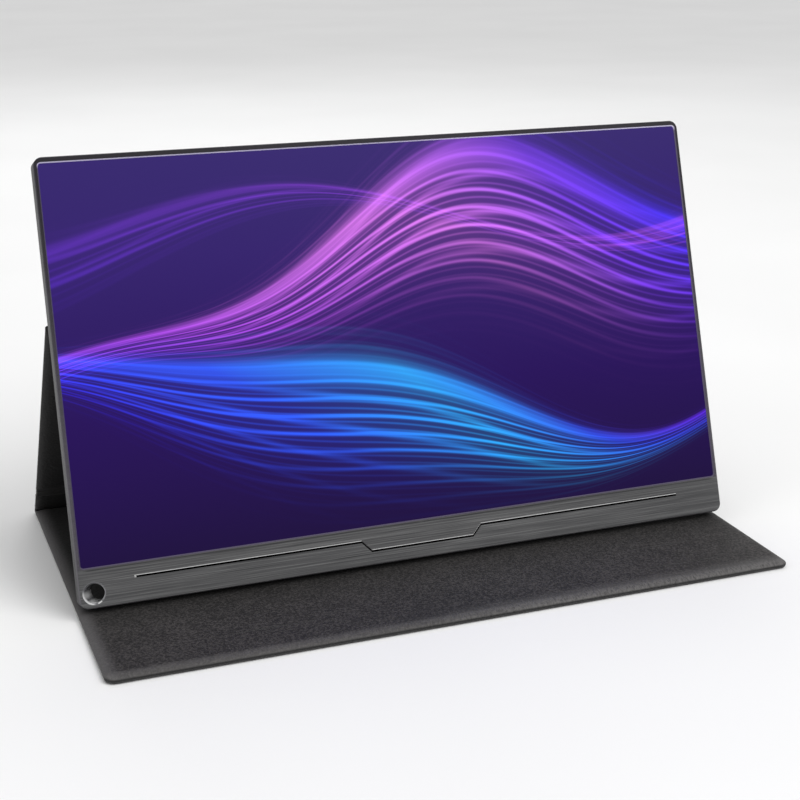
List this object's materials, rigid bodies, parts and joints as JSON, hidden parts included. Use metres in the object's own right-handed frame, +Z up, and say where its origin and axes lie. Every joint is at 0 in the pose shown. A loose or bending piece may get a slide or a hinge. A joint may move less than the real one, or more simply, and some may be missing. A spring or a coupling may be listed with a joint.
{
  "type": "portable monitor with folio cover",
  "caption": "Slim portable monitor held up by a padded leather folio cover that folds into a stand, with a pen hole in one lower corner.",
  "frame": {"origin": "centre of the footprint on the table, under the cover's front panel", "axes": "+X along the width to the viewer's right, -Y toward the viewer, +Z up"},
  "size_m": [0.357, 0.2192, 0.2162],
  "materials": {
    "frame_metal": "brushed, anodised dark grey",
    "shell_metal": "fine satin, anodised grey",
    "polished_metal": "turned and polished",
    "screen": "glossy, lit, dark violet picture",
    "cell_glass": "polished",
    "white_film": "matt translucent film",
    "clear_guide": "clear, polished",
    "tray_steel": "pressed sheet",
    "board_green": "solder mask",
    "chip_black": "moulded epoxy",
    "ribbon_amber": "polyimide film",
    "ribbon_white": "flat cable",
    "spreader_metal": "plain sheet",
    "screw_steel": "plated",
    "socket_steel": "nickel plated",
    "jack_plastic": "moulded",
    "key_metal": "satin",
    "light_lens": "frosted lens",
    "speaker_plastic": "moulded",
    "lead_rubber": "insulation",
    "magnet_metal": "nickel plated",
    "cover_leather": "fine grain, outer face",
    "lining_leather": "fine grain, padded inner face",
    "crease_leather": "thin, fine grain",
    "stiff_board": "pressed fibre board"
  },
  "bodies": {
    "front_cover": {"cover_outer_skin": "cover_leather", "cover_board": "stiff_board", "rest_magnets": "magnet_metal", "closing_magnets": "magnet_metal", "cover_inner_skin": "lining_leather", "rear_crease": "crease_leather"},
    "spine": {"spine_outer_skin": "cover_leather", "spine_board": "stiff_board", "spine_inner_skin": "lining_leather", "prop_crease": "crease_leather"},
    "prop": {"prop_outer_skin": "cover_leather", "prop_board": "stiff_board", "prop_inner_skin": "lining_leather", "back_crease": "crease_leather"},
    "monitor": {"front_frame": "frame_metal", "rear_shell": "shell_metal", "pen_hole_sleeve": "polished_metal", "screen_glass": "screen", "lcd_cell": "cell_glass", "diffuser_films": "white_film", "light_guide": "clear_guide", "reflector_sheet": "white_film", "led_bar": "white_film", "panel_tray": "tray_steel", "timing_board": "board_green", "panel_ribbon": "ribbon_amber", "video_ribbon": "ribbon_white", "main_board": "board_green", "main_chips": "chip_black", "heat_spreader": "spreader_metal", "board_screws": "screw_steel", "usb_c_lower": "socket_steel", "usb_c_upper": "socket_steel", "mini_hdmi_socket": "socket_steel", "audio_jack": "jack_plastic", "button_board": "board_green", "button_ribbon": "ribbon_white", "key_switches": "chip_black", "rocker_pin": "screw_steel", "status_light": "light_lens", "speaker_left": "speaker_plastic", "speaker_right": "speaker_plastic", "speaker_leads": "lead_rubber", "case_screws": "screw_steel", "dock_magnets": "magnet_metal", "attach_outer_skin": "cover_leather", "attach_board": "stiff_board", "attach_magnets": "magnet_metal", "attach_inner_skin": "lining_leather"},
    "power_button": {"power_button": "key_metal"},
    "menu_rocker": {"menu_rocker": "key_metal"}
  },
  "joints": [
    {"name": "spine_fold", "type": "hinge", "parent": "front_cover", "child": "spine", "pos_m": [0, 0.10885, 0.001], "axis": [-1, 0, 0], "range_deg": [0, 106], "deforming": ["rear_crease"]},
    {"name": "prop_fold", "type": "hinge", "parent": "spine", "child": "prop", "pos_m": [0, 0.09724, 0.01729], "axis": [1, 0, 0], "range_deg": [-18.6, 6], "deforming": ["prop_crease"]},
    {"name": "lean_fold", "type": "hinge", "parent": "prop", "child": "monitor", "pos_m": [0, 0.01251, 0.13618], "axis": [-1, 0, 0], "range_deg": [-53, 16], "deforming": ["back_crease"]},
    {"name": "power_press", "type": "slide", "parent": "monitor", "child": "power_button", "axis": [-1, 0, 0], "range_m": [0, 0.0005], "stiffness_N_per_m": 600, "springref_m": -0.0008},
    {"name": "rocker_tilt", "type": "hinge", "parent": "monitor", "child": "menu_rocker", "pos_m": [0.17556, 0.01253, 0.15721], "axis": [0, -0.9511, 0.309], "range_deg": [-2.5, 2.5], "stiffness_Nm_per_rad": 0.14}
  ],
  "couplings": [
    {"joint": "prop_fold", "follows": "lean_fold", "ratio": 0.3498}
  ]
}
